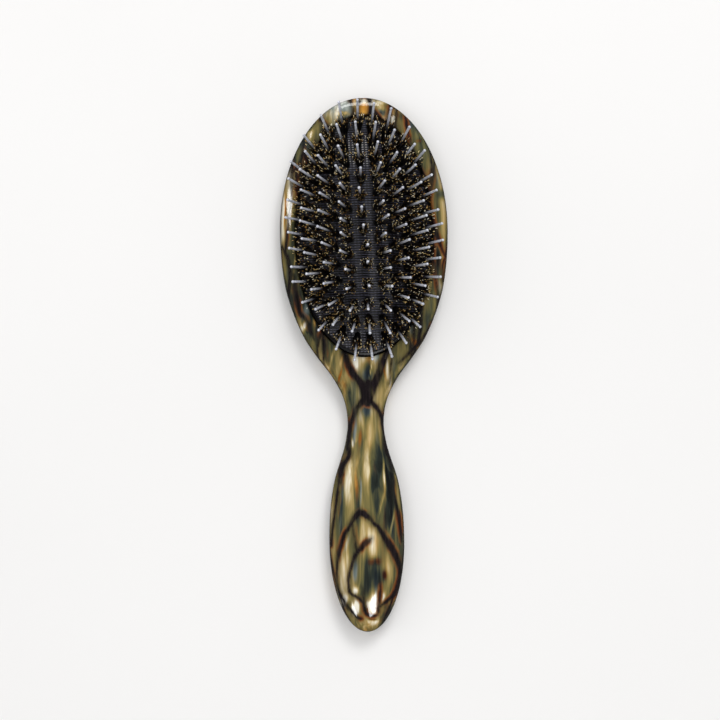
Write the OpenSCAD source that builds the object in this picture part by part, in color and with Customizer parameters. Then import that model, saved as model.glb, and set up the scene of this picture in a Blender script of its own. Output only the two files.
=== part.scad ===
// Oval cushion hairbrush: a one-piece body with a recess in its head, a domed
// rubber cushion held in the recess by an oval retainer, and rows of tufts.
// Each tuft is a root plug under the cushion, a nylon pin with a ball tip and
// a ring of natural bristles around the pin.
// The brush lies on its back: +Z is the way the bristles point, +Y runs from
// the handle to the tip of the head. The origin is under the middle of the
// brush, on the plane it rests on. Units are millimetres.

/* [Body] */
// Length from the end of the handle to the tip of the head
body_length = 220; // [216:1:240]
// Width of the head at its widest
head_width = 69.4; // [67:0.2:74]
// Width of the neck at its narrowest
neck_width = 14.8; // [12:0.2:20]
// Width of the handle at its widest
handle_width = 30.6; // [26:0.2:36]
// Thickness of the head
head_thickness = 14; // [13:0.5:18]
// Thickness of the neck
neck_thickness = 13; // [11:0.5:16]
// Thickness of the handle
handle_thickness = 17; // [14:0.5:22]

/* [Cushion] */
// Half the cushion's width
cushion_half_width = 28.2; // [27:0.1:28.6]
// Half the cushion's length
cushion_half_length = 50; // [47:0.1:50.5]
// Height of the dome above the top of its upright skirt
dome_height = 11.5; // [9:0.5:13]
// Thickness of the rubber
rubber_thickness = 1.2; // [0.8:0.1:1.6]
// Radius of the air hole
vent_radius = 0.9; // [0.6:0.1:1.2]

/* [Tufts] */
// Distance from one lengthwise row of tufts to the next, at the roots
row_spacing = 5.4; // [5:0.1:5.5]
// Half the length of the middle row, at the roots
middle_row_half_length = 41.5; // [36:0.5:42]
// How far the whole pattern is turned on the cushion, in degrees
pattern_turn = 3; // [0:0.5:4]
// Length of a nylon pin above the rubber
pin_length = 19; // [14:0.5:20]
// Radius of a nylon pin's shaft
pin_radius = 0.5; // [0.4:0.05:0.55]
// Radius of the ball at a pin's tip
ball_radius = 0.72; // [0.6:0.02:0.8]
// Length of the bristles above the rubber
bristle_length = 9.5; // [6:0.5:11]
// Radius of a bristle bundle at its tips
bundle_tip_radius = 1.6; // [1.2:0.1:1.6]

/* [Hidden] */
ROWS = [1, 2, 3, 4, 5, 6, 7, 8, 9];

// Number of the middle row; the rows to its left count down to 1
middle_row = 5;
// Tufts in a row, by how many rows it lies from the middle
tufts_in_row = [13, 14, 13, 12, 9];

// ---- Body outline, from the handle's end to the head's tip ----

half_length = body_length / 2;
// Where the head, the neck and the handle are at their widest or narrowest
head_y = half_length * 0.5;
neck_y = -half_length * 0.23;
handle_y = -half_length * 0.67;
// The swell from neck to head: share of the way, share of the widening
shoulder = [[0, 0], [0.13, 0.06], [0.24, 0.225], [0.34, 0.445], [0.44, 0.64],
    [0.65, 0.885], [0.8, 0.967], [1, 1]];
// The swell from neck to handle, the same way
grip = [[0, 0], [0.12, 0.08], [0.21, 0.2], [0.29, 0.35], [0.46, 0.68],
    [0.63, 0.87], [0.8, 0.97], [1, 1]];

// Smooth cubic through a list of [place, value] points
function chord(list, i) =
    (list[i + 1][1] - list[i][1]) / (list[i + 1][0] - list[i][0]);
function slope_at(list, i) =
    i == 0 || i == len(list) - 1 ? 0 : (chord(list, i - 1) + chord(list, i)) / 2;
function cubic(p, q, m, n, w, t) =
    p * (1 + 2 * t) * (1 - t) * (1 - t) + q * t * t * (3 - 2 * t)
    + w * (m * t * (1 - t) * (1 - t) - n * t * t * (1 - t));
function last_before(list, x, i = 0) =
    i >= len(list) - 2 || list[i + 1][0] > x ? i : last_before(list, x, i + 1);
function through(list, x) =
    let (i = last_before(list, x), w = list[i + 1][0] - list[i][0])
    cubic(list[i][1], list[i + 1][1], slope_at(list, i), slope_at(list, i + 1),
        w, (x - list[i][0]) / w);

// Share of the way from neck to head (or handle) in the swell at y
function head_share(y) =
    y >= head_y ? 1 : y <= neck_y ? 0 : through(shoulder, (y - neck_y) / (head_y - neck_y));
function handle_share(y) =
    y <= handle_y ? 1 : y >= neck_y ? 0 : through(grip, (neck_y - y) / (neck_y - handle_y));
// A value that is one thing at the neck, another in the head and the handle
function blended(y, at_neck, at_head, at_handle) =
    at_neck + (at_head - at_neck) * head_share(y) + (at_handle - at_neck) * handle_share(y);

// How far into the rounded end y lies, from 0 to 1 at the very end
function end_share(y) =
    y > head_y ? (y - head_y) / (half_length - head_y)
    : y < handle_y ? (handle_y - y) / (half_length + handle_y) : 0;
// Plan outline: the ends are half ellipses
function half_width(y) =
    blended(y, neck_width, head_width, handle_width) / 2
    * sqrt(max(0, 1 - pow(end_share(y), 2)));
// The ends keep their thickness longer than their width, then round over
head_end_power = 5;
handle_end_power = 2.6;
function end_thinning(y) =
    let (p = y > 0 ? head_end_power : handle_end_power)
    pow(max(0, 1 - pow(end_share(y), p)), 1 / p);

// The back is cut flat this far into the rounded section
back_cut = 0.4;
function thickness(y) = blended(y, neck_thickness, head_thickness, handle_thickness);
function middle_z(y) = (thickness(y) - back_cut) / 2;
function half_thickness(y) = (thickness(y) + back_cut) / 2 * end_thinning(y);

// Section: a superellipse, squarer over the head than round the handle
function top_power(y) = blended(y, 2.2, 4.5, 2.2);
function back_power(y) = blended(y, 2.2, 3.2, 2.2);
function signed_pow(v, p) = sign(v) * pow(abs(v), p);
function section_point(y, angle) =
    let (p = sin(angle) >= 0 ? top_power(y) : back_power(y))
    [half_width(y) * signed_pow(cos(angle), 2 / p), y,
        middle_z(y) + half_thickness(y) * signed_pow(sin(angle), 2 / p)];

sides = 56;
cap_rings = 11;
grip_rings = 14;
shoulder_rings = 22;
// The rings close up towards the two ends, and are even in between
ring_places = concat(
    [for (i = [1 : cap_rings])
        -half_length + (half_length + handle_y) * (1 - cos(90 * i / cap_rings))],
    [for (i = [1 : grip_rings]) handle_y + (neck_y - handle_y) * i / grip_rings],
    [for (i = [1 : shoulder_rings]) neck_y + (head_y - neck_y) * i / shoulder_rings],
    [for (i = [1 : cap_rings - 1]) head_y + (half_length - head_y) * sin(90 * i / cap_rings)]
);

module body_skin() {
    rings = len(ring_places);
    points = concat(
        [for (y = ring_places, s = [0 : sides - 1]) section_point(y, 360 * s / sides)],
        [[0, -half_length, middle_z(-half_length)], [0, half_length, middle_z(half_length)]]
    );
    handle_end = rings * sides;
    head_end = handle_end + 1;
    faces = concat(
        [for (r = [0 : rings - 2], s = [0 : sides - 1])
            let (t = (s + 1) % sides)
            [r * sides + s, (r + 1) * sides + s, (r + 1) * sides + t, r * sides + t]],
        [for (s = [0 : sides - 1]) [handle_end, s, (s + 1) % sides]],
        [for (s = [0 : sides - 1])
            let (r = (rings - 1) * sides)
            [head_end, r + (s + 1) % sides, r + s]]
    );
    polyhedron(points, faces, convexity = 6);
}

// ---- Recess and cushion, both ovals about the same upright axis ----

cushion_y = half_length * 0.4735;
recess_floor = 5;
skirt_top = 11;
lip_reach = 1.5;
lip_bottom = 5.8;
lip_top = 7.6;
// Clearances of the cushion in the recess
skirt_gap = 0.3;
lip_gap = 0.25;
// How far cutting shapes run past the faces they cut
overrun = 1;

oval_sides = 96;
// An upright oval slab, larger all round than the cushion's oval by grow
module slab(grow, bottom, top) {
    translate([0, cushion_y, bottom]) linear_extrude(top - bottom) polygon([
        for (i = [0 : oval_sides - 1]) [
            (cushion_half_width + grow) * cos(360 * i / oval_sides),
            (cushion_half_length + grow) * sin(360 * i / oval_sides)]
    ]);
}

module handle_body() color([0.43, 0.41, 0.25]) difference() {
    body_skin();
    translate([-head_width, -body_length, -overrun])
        cube([2 * head_width, 2 * body_length, overrun]);
    slab(skirt_gap, recess_floor, head_thickness + overrun);
    slab(lip_reach + lip_gap, lip_bottom - lip_gap, lip_top + lip_gap);
}

// The dome is the cap of a ball drawn out lengthwise, over the skirt
draw_out = cushion_half_length / cushion_half_width;
ball = (pow(cushion_half_width, 2) + pow(dome_height, 2)) / (2 * dome_height);
ball_z = skirt_top + dome_height - ball;
function dome_z(x, y) =
    ball_z + sqrt(pow(ball, 2) - pow(x, 2) - pow((y - cushion_y) / draw_out, 2));

module drawn_ball(inset) {
    translate([0, cushion_y, ball_z])
        scale([1, (ball * draw_out - inset) / (ball - inset), 1])
            sphere(r = ball - inset, $fn = 128);
}
vent_rim = 0.8;
vent_rim_height = 0.5;
vent_place = [0.5, -37.5];
// Half the length of the cutters through the rubber
punch_reach = 4;

module punch(r) {
    translate([0, 0, -punch_reach]) cylinder(r = r, h = 2 * punch_reach, $fn = 24);
}

module cushion_pad() color([0.09, 0.09, 0.1]) difference() {
    union() {
        intersection() {
            drawn_ball(0);
            slab(0, lip_bottom, skirt_top + dome_height + overrun);
        }
        slab(lip_reach, lip_bottom, lip_top);
        at_vent() translate([0, 0, vent_rim_height - rubber_thickness])
            cylinder(r = vent_radius + vent_rim, h = rubber_thickness, $fn = 32);
    }
    intersection() {
        drawn_ball(rubber_thickness);
        slab(-rubber_thickness, lip_bottom - overrun, skirt_top + dome_height);
    }
    at_vent() punch(vent_radius);
    for (row = ROWS) at_tufts(row) punch(stem_radius + stem_gap);
}

retainer_height = 2.4;
retainer_width = 1.8;
retainer_gap = 0.15;

module pad_retainer() color([0.75, 0.72, 0.62]) difference() {
    slab(-rubber_thickness - retainer_gap, recess_floor, recess_floor + retainer_height);
    slab(-rubber_thickness - retainer_gap - retainer_width, recess_floor - overrun,
        recess_floor + retainer_height + overrun);
}

// ---- Tufts ----

// Row spacings from the middle at which a row would have no length
rows_to_edge = 5;
// How much a row bows towards the middle at its ends, for each row outwards
row_bow = 0.022;
// Lean of the tufts, as the sine of the angle: sideways it levels off near
// the sides, lengthwise it grows towards the ends
side_lean = 0.56;
side_reach = 14;
// Share of the sideways lean lost at the end of the middle row
side_fade = 0.5;
end_lean = 0.6;
// Small differences from tuft to tuft, always the same for one row
lean_spread = 0.04;
place_spread = 0.3;

function from_middle(row) = row - middle_row;
function tuft_count(row) = tufts_in_row[abs(from_middle(row))];
function row_half_length(row) =
    middle_row_half_length * sqrt(1 - pow(from_middle(row) / rows_to_edge, 2));
function turned(u, v) = [
    u * cos(pattern_turn) - v * sin(pattern_turn),
    cushion_y + u * sin(pattern_turn) + v * cos(pattern_turn)];
function hyperbolic_tangent(x) = (exp(x) - exp(-x)) / (exp(x) + exp(-x));

// Root of tuft i on the rubber's outer face
function tuft_root(row, i) =
    let (shift = rands(-place_spread, place_spread, 2 * tuft_count(row), row),
        along = 2 * i / (tuft_count(row) - 1) - 1,
        bow = 1 - row_bow * abs(from_middle(row)) * along * along,
        u = from_middle(row) * row_spacing * bow + shift[2 * i],
        v = row_half_length(row) * along + shift[2 * i + 1],
        p = turned(u, v))
    [p[0], p[1], dome_z(p[0], p[1])];
// Unit vector along tuft i
function tuft_lean(row, i) =
    let (spread = rands(-lean_spread, lean_spread, 2 * tuft_count(row), row + 20),
        root = tuft_root(row, i),
        v = (root[1] - cushion_y) / middle_row_half_length,
        a = side_lean * hyperbolic_tangent(root[0] / side_reach) * (1 - side_fade * v * v)
            + spread[2 * i],
        b = end_lean * sign(v) * v * v + spread[2 * i + 1])
    [a, b, sqrt(1 - a * a - b * b)];

module along_vector(v) {
    rotate([0, acos(v[2]), atan2(v[1], v[0])]) children();
}
module at_tufts(row) {
    for (i = [0 : tuft_count(row) - 1])
        translate(tuft_root(row, i)) along_vector(tuft_lean(row, i)) children();
}
// The air hole's rim stands square to the dome
module at_vent() {
    place = turned(vent_place[0], vent_place[1]);
    z = dome_z(place[0], place[1]);
    outward = [place[0], (place[1] - cushion_y) / pow(draw_out, 2), z - ball_z];
    translate([place[0], place[1], z]) along_vector(outward / norm(outward)) children();
}

// A plug's stem passes through the rubber and its flange sits under it
stem_radius = 0.9;
stem_gap = 0.08;
stem_top = 0.3;
flange_radius = 1.5;
flange_thickness = 0.8;
// Room under the rubber for a flange that lies at an angle to it
flange_room = 0.65;
flange_depth = rubber_thickness + flange_room;
pin_bore_gap = 0.02;
bundle_root_radius = 1.05;
bundle_bottom = 0.35;
bundle_bore = pin_radius + 0.08;

module plug() {
    difference() {
        union() {
            translate([0, 0, -flange_depth])
                cylinder(r = stem_radius, h = flange_depth + stem_top, $fn = 24);
            translate([0, 0, -flange_depth - flange_thickness])
                cylinder(r = flange_radius, h = flange_thickness, $fn = 32);
        }
        translate([0, 0, -flange_depth])
            cylinder(r = pin_radius + pin_bore_gap, h = 2 * flange_depth, $fn = 24);
    }
}
module pin() {
    translate([0, 0, -flange_depth])
        cylinder(r = pin_radius, h = flange_depth + pin_length - ball_radius, $fn = 16);
    translate([0, 0, pin_length - ball_radius]) sphere(r = ball_radius, $fn = 20);
}
module bundle() {
    difference() {
        translate([0, 0, bundle_bottom]) cylinder(r1 = bundle_root_radius, r2 = bundle_tip_radius,
            h = bristle_length - bundle_bottom, $fn = 24);
        cylinder(r = bundle_bore, h = bristle_length + overrun, $fn = 16);
    }
}

module pins_row(row) color([0.84, 0.87, 0.9]) at_tufts(row) pin();
module bristles_row(row) color([0.16, 0.12, 0.08]) at_tufts(row) bundle();
module plugs_row(row) color([0.3, 0.3, 0.32]) at_tufts(row) plug();

handle_body();
cushion_pad();
pad_retainer();
for (row = ROWS) {
    pins_row(row);
    bristles_row(row);
    plugs_row(row);
}
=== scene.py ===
"""Cushion hairbrush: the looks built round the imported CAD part.

Shapes are worked out in millimetres, in the frame's axes (the brush lies on its back, +Z the way the
bristles point, +Y towards the tip of the head), and turned into metres when a mesh is made.
"""
import math

import bmesh
import bpy
import numpy as np
from mathutils import Matrix, Vector


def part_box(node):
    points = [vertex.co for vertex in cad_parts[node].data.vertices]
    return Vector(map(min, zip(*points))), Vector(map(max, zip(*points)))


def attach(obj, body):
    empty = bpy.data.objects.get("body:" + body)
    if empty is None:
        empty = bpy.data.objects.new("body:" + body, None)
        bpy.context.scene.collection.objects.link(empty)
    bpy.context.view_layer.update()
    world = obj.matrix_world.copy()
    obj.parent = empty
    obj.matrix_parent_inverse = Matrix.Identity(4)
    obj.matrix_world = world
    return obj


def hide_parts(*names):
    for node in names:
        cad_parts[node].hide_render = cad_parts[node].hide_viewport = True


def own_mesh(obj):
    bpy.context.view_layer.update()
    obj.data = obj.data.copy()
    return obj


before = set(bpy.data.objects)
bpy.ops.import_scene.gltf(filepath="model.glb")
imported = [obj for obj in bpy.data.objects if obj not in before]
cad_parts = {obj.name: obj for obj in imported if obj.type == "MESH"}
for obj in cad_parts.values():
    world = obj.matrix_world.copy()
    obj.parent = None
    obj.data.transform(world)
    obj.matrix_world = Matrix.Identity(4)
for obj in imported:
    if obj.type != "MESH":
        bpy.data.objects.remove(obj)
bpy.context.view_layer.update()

MM = 0.001
ROWS = range(1, 10)

# ---------------------------------------------------------------- sizes shared with the CAD, in mm

HALF_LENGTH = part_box("handle_body")[1].y / MM
HEAD_WIDTH = 2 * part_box("handle_body")[1].x / MM
NECK_WIDTH, HANDLE_WIDTH = 14.8, 30.6
HEAD_THICK, NECK_THICK, HANDLE_THICK = 14.0, 13.0, 17.0
HEAD_Y, NECK_Y, HANDLE_Y = HALF_LENGTH * 0.5, -HALF_LENGTH * 0.23, -HALF_LENGTH * 0.67
# The swells from the neck to the head and to the handle: share of the way, share of the widening
SHOULDER = [
    (0, 0), (0.13, 0.06), (0.24, 0.225), (0.34, 0.445), (0.44, 0.64), (0.65, 0.885), (0.8, 0.967), (1, 1),
]
GRIP = [(0, 0), (0.12, 0.08), (0.21, 0.2), (0.29, 0.35), (0.46, 0.68), (0.63, 0.87), (0.8, 0.97), (1, 1)]
BACK_CUT = 0.4

PAD_Y = HALF_LENGTH * 0.4735
PAD_A, PAD_B = 28.2, 50.0
DOME = 11.5
SKIRT_TOP, SKIRT_FOOT = 11.0, 5.8
RUBBER = 1.2
RECESS_FLOOR = 5.0
GAP = 0.3
BALL = (PAD_A**2 + DOME**2) / (2 * DOME)
BALL_Z = SKIRT_TOP + DOME - BALL
DRAW = PAD_B / PAD_A
TURN = math.radians(3)
VENT_PLACE = (0.5, -37.5)  # from the cushion's middle, before it is turned
VENT_R = 0.9
PIN_LENGTH, PIN_R, TIP_R = 19.0, 0.5, 0.58
FLANGE_DEPTH = 1.85


# ---------------------------------------------------------------- small helpers


def linear(r, g, b):
    """An sRGB colour from 0 to 255 as a linear colour."""

    def one(c):
        return ((c / 255 + 0.055) / 1.055) ** 2.4 if c > 10 else c / 255 / 12.92

    return one(r), one(g), one(b), 1.0


def smoothstep(low, high, x):
    t = np.clip((x - low) / (high - low), 0, 1)
    return t * t * (3 - 2 * t)


def make_mesh(name, verts_mm, faces, merge=None, attributes=None):
    """A smooth-shaded object from points in mm. merge is the distance in mm at which points are joined."""
    mesh = bpy.data.meshes.new(name)
    mesh.from_pydata(np.asarray(verts_mm, float) * MM, [], faces)
    for key, values in (attributes or {}).items():
        mesh.attributes.new(key, "FLOAT", "POINT").data.foreach_set("value", np.asarray(values, np.float32))
    if merge is not None:
        bm = bmesh.new()
        bm.from_mesh(mesh)
        bmesh.ops.remove_doubles(bm, verts=bm.verts, dist=merge * MM)
        bmesh.ops.dissolve_degenerate(bm, edges=bm.edges, dist=merge * MM * 0.5)
        bmesh.ops.recalc_face_normals(bm, faces=bm.faces)
        bm.to_mesh(mesh)
        bm.free()
    mesh.shade_smooth()
    obj = bpy.data.objects.new(name, mesh)
    bpy.context.scene.collection.objects.link(obj)
    return obj


def grid_faces(rows, cols, start=0, closed=False):
    """Quads of a grid of rows x cols points, numbered row by row from start."""
    r, c = np.meshgrid(np.arange(rows - 1), np.arange(cols if closed else cols - 1), indexing="ij")
    d = (c + 1) % cols
    a = start + np.stack([r * cols + c, r * cols + d, (r + 1) * cols + d, (r + 1) * cols + c], -1)
    return a.reshape(-1, 4).tolist()


def points_of(obj):
    """A mesh's points in mm."""
    co = np.zeros(len(obj.data.vertices) * 3, np.float32)
    obj.data.vertices.foreach_get("co", co)
    return co.reshape(-1, 3).astype(float) / MM


def set_attribute(obj, name, values):
    """Writes one value for each point of obj."""
    a = obj.data.attributes.new(name, "FLOAT", "POINT")
    a.data.foreach_set("value", np.asarray(values, np.float32))


# ---------------------------------------------------------------- the body's skin, as in the CAD


def through(points, x):
    """The smooth cubic through points, level at both ends, at x."""
    px, py = np.array(points, float).T
    chord = np.diff(py) / np.diff(px)
    slope = np.zeros(len(px))
    slope[1:-1] = (chord[:-1] + chord[1:]) / 2
    i = np.clip(np.searchsorted(px, x, side="right") - 1, 0, len(px) - 2)
    w = px[i + 1] - px[i]
    t = (x - px[i]) / w
    return (
        py[i] * (1 + 2 * t) * (1 - t) ** 2
        + py[i + 1] * t * t * (3 - 2 * t)
        + w * (slope[i] * t * (1 - t) ** 2 - slope[i + 1] * t * t * (1 - t))
    )


def blended(y, neck, head, handle):
    """A value that is one thing at the neck, another in the head and the handle."""
    up = through(SHOULDER, np.clip((y - NECK_Y) / (HEAD_Y - NECK_Y), 0, 1))
    down = through(GRIP, np.clip((NECK_Y - y) / (NECK_Y - HANDLE_Y), 0, 1))
    return neck + (head - neck) * up + (handle - neck) * down


def end_share(y):
    """How far into the rounded end y lies, from 0 to 1 at the very end."""
    return np.where(
        y > HEAD_Y,
        (y - HEAD_Y) / (HALF_LENGTH - HEAD_Y),
        np.where(y < HANDLE_Y, (HANDLE_Y - y) / (HALF_LENGTH + HANDLE_Y), 0),
    )


def half_width(y):
    rounding = np.sqrt(np.clip(1 - end_share(y) ** 2, 0, 1))
    return blended(y, NECK_WIDTH, HEAD_WIDTH, HANDLE_WIDTH) / 2 * rounding


def thickness(y):
    return blended(y, NECK_THICK, HEAD_THICK, HANDLE_THICK)


def middle_z(y):
    return (thickness(y) - BACK_CUT) / 2


def half_thickness(y):
    p = np.where(y > 0, 5.0, 2.6)
    return (thickness(y) + BACK_CUT) / 2 * np.clip(1 - end_share(y) ** p, 0, 1) ** (1 / p)


def top_power(y):
    return blended(y, 2.2, 4.5, 2.2)


def section(theta, y):
    """The skin's point at angle theta round the section at y: 0 is the +X side and pi/2 the top."""
    s, c = np.sin(theta), np.cos(theta)
    p = np.where(s >= 0, top_power(y), blended(y, 2.2, 3.2, 2.2))
    x = half_width(y) * np.sign(c) * np.abs(c) ** (2 / p)
    z = middle_z(y) + half_thickness(y) * np.sign(s) * np.abs(s) ** (2 / p)
    return np.stack([x, y + 0 * x, np.maximum(z, 0)], -1)


def top_z(x, y):
    """Height of the skin's upper side over a point inside the outline."""
    p = top_power(y)
    share = np.clip(np.abs(x) / np.maximum(half_width(y), 1e-9), 0, 1)
    return middle_z(y) + half_thickness(y) * np.clip(1 - share**p, 0, 1) ** (1 / p)


# ---------------------------------------------------------------- body mesh

SPLIT_Y = -8.0  # the recess is in the part above this, and the grip below it
LIP_ROUND = 0.85  # at the top of the recess's wall
FLOOR_ROUND = 0.5  # at its foot
LOW_STEPS, GRIP_STEPS, NECK_STEPS, HIGH_STEPS = 60, 110, 110, 100  # along the body, from the handle's end
TOP_STEPS, BACK_STEPS, BAND_STEPS = 90, 100, 24  # over the top, across the back, recess to outline


def recess_loop(phi, offset):
    """Points of the recess's oval, moved outwards by offset."""
    a, b = PAD_A + GAP, PAD_B + GAP
    n = np.stack([np.cos(phi) / a, np.sin(phi) / b], -1)
    n /= np.linalg.norm(n, axis=1, keepdims=True)
    return np.stack([a * np.cos(phi), PAD_Y + b * np.sin(phi)], -1) + offset * n


def stations():
    """Places along the body, closer together towards the two ends: below SPLIT_Y and above it."""
    i = np.arange(LOW_STEPS + 1) / LOW_STEPS
    low_end = -HALF_LENGTH + (HALF_LENGTH + HANDLE_Y) * (1 - np.cos(i * math.pi / 2))
    grip = np.linspace(HANDLE_Y, SPLIT_Y, GRIP_STEPS + 1)
    neck = np.linspace(SPLIT_Y, HEAD_Y, NECK_STEPS + 1)
    i = np.arange(HIGH_STEPS + 1) / HIGH_STEPS
    high_end = HEAD_Y + (HALF_LENGTH - HEAD_Y) * np.sin(i * math.pi / 2)
    return np.concatenate([low_end, grip[1:]]), np.concatenate([neck, high_end[1:]])


def recess_inside(phi):
    """Loops of the recess from its lip down: the lip's round, the wall, the foot's round and the floor."""
    loops = []
    for a in np.linspace(0, math.pi / 2, 8)[1:]:
        flat = recess_loop(phi, LIP_ROUND * (1 - math.sin(a)))
        edge = top_z(flat[:, 0], flat[:, 1]) - LIP_ROUND * (1 - math.cos(a))
        loops.append(np.concatenate([flat, edge[:, None]], -1))
    low = loops[-1][:, 2]
    for f in np.linspace(0, 1, 7)[1:]:
        down = low + (RECESS_FLOOR + FLOOR_ROUND - low) * f
        loops.append(np.concatenate([recess_loop(phi, 0), down[:, None]], -1))
    for inset in (0.15, 0.5, 6, 14, 21, 27):
        flat = recess_loop(phi, 0)
        flat = [0, PAD_Y] + (flat - [0, PAD_Y]) * (1 - inset / (PAD_A + GAP))
        lift = FLOOR_ROUND * max(0.0, 1 - inset / FLOOR_ROUND) ** 2
        loops.append(np.concatenate([flat, np.full((len(flat), 1), RECESS_FLOOR + lift)], -1))
    loops.append(np.tile([0, PAD_Y, RECESS_FLOOR], (len(phi), 1)))
    return np.array(loops)


def body_mesh():
    """The one-piece body, with the recess in its head."""
    lower, upper = stations()
    along = np.concatenate([lower, upper[1:]])
    verts, faces, count = [], [], 0

    def add(points, closed=False):
        nonlocal count
        rows, cols = points.shape[:2]
        faces.extend(grid_faces(rows, cols, count, closed))
        verts.append(points.reshape(-1, 3))
        count += rows * cols

    # Angles that come out evenly spread across the flat back
    across_back = np.sin(np.linspace(-math.pi / 2, math.pi / 2, BACK_STEPS + 1))
    back = -np.arccos(np.clip(np.sign(across_back) * np.abs(across_back) ** 1.6, -1, 1))
    add(section(back[None, :], along[:, None]))
    over = np.linspace(0, math.pi, TOP_STEPS + 1)
    add(section(over[None, :], lower[:, None]))

    # The head's upper side: lines run from the recess's lip to the outline, and to the top of the neck
    right = np.stack([half_width(upper), upper], -1)
    left = right[::-1][1:] * [-1, 1]
    cut = section(over[1:-1][::-1], np.full(TOP_STEPS - 1, SPLIT_Y))[:, :2]
    outer = np.concatenate([right, left, cut])
    at_cut = np.concatenate([np.zeros(len(right) + len(left)), np.sin(over[1:-1][::-1])])
    phi = np.arctan2((outer[:, 1] - PAD_Y) / (PAD_B + GAP), outer[:, 0] / (PAD_A + GAP))
    crowd = 1 + 3.2 * np.exp(-((at_cut / 0.25) ** 2))  # the lines' points crowd where the neck begins
    inner = recess_loop(phi, LIP_ROUND)
    t = np.linspace(0, 1, BAND_STEPS + 1)[:, None]
    share = 1 - (1 - t) ** crowd[None, :]
    plan = inner[None] + (outer - inner)[None] * share[..., None]
    z = top_z(plan[..., 0], plan[..., 1])
    band = np.concatenate([plan, z[..., None]], -1)
    add(np.concatenate([recess_inside(phi)[::-1], band]), closed=True)
    return make_mesh("brush_body", np.concatenate(verts), faces, merge=0.004)


# ---------------------------------------------------------------- the acetate's pattern
# Sheets of horn-look acetate are pressed from long leaves of different colour. Each leaf here is
# (place round the section at its top, y of its top, the same at its foot, half width, where along it is
# widest, tone from dark 0 to cream 1, warmth). Later leaves lie over earlier ones.
# Warmth goes from -1, blue-grey, through 0, olive, to 1, amber.

LEAVES = [
    # the upper side from the cushion's foot to the grip's end
    (0, 46, 0, -125, 24.0, 0.45, 0.46, 0.05),
    # head's tip and rim
    (-9.5, 114, -12, 93, 6.0, 0.50, 0.56, -0.4),
    (5.5, 113, 9.0, 96, 4.0, 0.50, 0.60, -0.1),
    (0.4, 113, 0.2, 97, 2.7, 0.50, 0.60, 1.00),
    (-28, 101, -31, 76, 3.6, 0.50, 0.30, 0.00),
    (-33.2, 88, -34.5, 44, 4.2, 0.45, 0.74, 0.00),
    (-37.5, 78, -37.5, 48, 1.9, 0.50, 0.55, 0.70),
    (20, 108, 27, 74, 4.6, 0.45, 0.36, -0.10),
    (31, 86, 33.5, 42, 5.0, 0.50, 0.50, 0.05),
    (36.5, 46, 33, 30, 2.0, 0.50, 0.40, 0.30),
    (-35, 50, -33, 26, 3.2, 0.50, 0.44, 0.05),
]
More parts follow.
